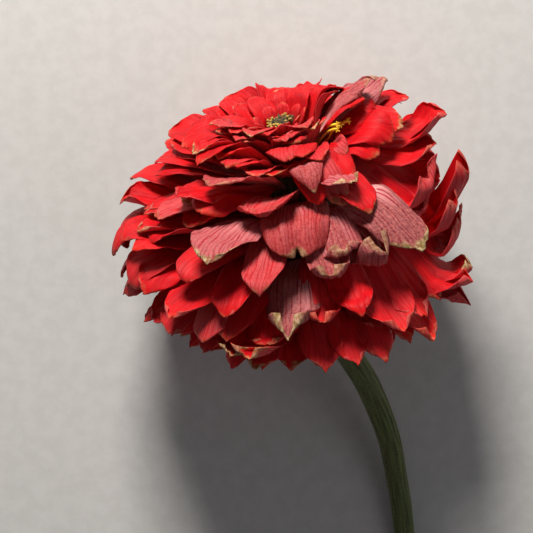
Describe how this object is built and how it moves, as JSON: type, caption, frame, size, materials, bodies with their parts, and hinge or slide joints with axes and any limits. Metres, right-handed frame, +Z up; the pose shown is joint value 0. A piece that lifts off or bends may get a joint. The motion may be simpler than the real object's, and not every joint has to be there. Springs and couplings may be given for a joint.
{
  "type": "zinnia flower",
  "caption": "Cut double zinnia head on its short stem, lying on its side, with layered scarlet ray florets, some curled and fading, and a small disc.",
  "frame": {"origin": "on the surface that the flower lies on, under the middle of its bounding box", "axes": "+Z up from that surface, +Y along the flower's length from the cut end of the stem towards the head, +X across it"},
  "size_m": [0.0967, 0.1573, 0.0809],
  "materials": {
    "petal_scarlet": "soft velvety petal, scarlet to crimson",
    "petal_withered": "matt faded petal, pink and buff with magenta veins",
    "bract_green": "matt leathery scale, olive green with a dark rim",
    "stem_green": "ridged and finely hairy, olive green",
    "disc_olive": "tightly packed unopened florets, yellow-green to brown",
    "disc_yellow": "soft yellow open disc florets"
  },
  "bodies": {
    "root": {"back_fan_1": "petal_scarlet", "back_fan_2": "petal_scarlet", "back_fan_3": "petal_scarlet", "back_fan_4": "petal_scarlet", "back_fan_5": "petal_scarlet", "back_fan_6": "petal_scarlet", "bract_row_1": "bract_green", "bract_row_2": "bract_green", "bract_row_3": "bract_green", "disc_fan": "petal_scarlet", "disc_florets": "disc_olive", "disc_tassel": "disc_yellow", "inner_fan_1": "petal_scarlet", "inner_fan_2": "petal_scarlet", "inner_fan_3": "petal_scarlet", "low_fan_1": "petal_scarlet", "low_fan_2": "petal_scarlet", "low_fan_3": "petal_scarlet", "mid_fan_1": "petal_scarlet", "ray_flank_02": "petal_withered", "ray_flank_03": "petal_withered", "ray_flank_04": "petal_scarlet", "ray_flank_06": "petal_withered", "ray_flank_07": "petal_withered", "ray_flank_10": "petal_scarlet", "ray_flank_pair_1": "petal_scarlet", "ray_flank_pair_2": "petal_scarlet", "ray_flank_pair_3": "petal_withered", "ray_front_03": "petal_scarlet", "ray_front_04": "petal_withered", "ray_front_05": "petal_scarlet", "ray_front_06": "petal_withered", "ray_front_pair_1": "petal_scarlet", "ray_front_pair_2": "petal_scarlet", "ray_front_pair_3": "petal_withered", "ray_left_01": "petal_scarlet", "ray_left_02": "petal_scarlet", "ray_left_05": "petal_scarlet", "ray_left_07": "petal_scarlet", "ray_left_09": "petal_scarlet", "ray_left_pair_1": "petal_scarlet", "ray_left_pair_2": "petal_scarlet", "ray_left_pair_3": "petal_scarlet", "ray_left_pair_4": "petal_scarlet", "ray_left_pair_5": "petal_withered", "ray_left_pair_6": "petal_scarlet", "ray_right_02": "petal_withered", "ray_right_03": "petal_withered", "ray_right_04": "petal_scarlet", "ray_right_05": "petal_scarlet", "ray_right_06": "petal_scarlet", "ray_right_07": "petal_scarlet", "ray_right_08": "petal_scarlet", "ray_right_10": "petal_scarlet", "ray_top_01": "petal_scarlet", "ray_top_02": "petal_scarlet", "ray_top_03": "petal_scarlet", "ray_top_pair_1": "petal_scarlet", "ray_top_pair_2": "petal_scarlet", "stem_and_receptacle": "stem_green"}
  },
  "joints": []
}
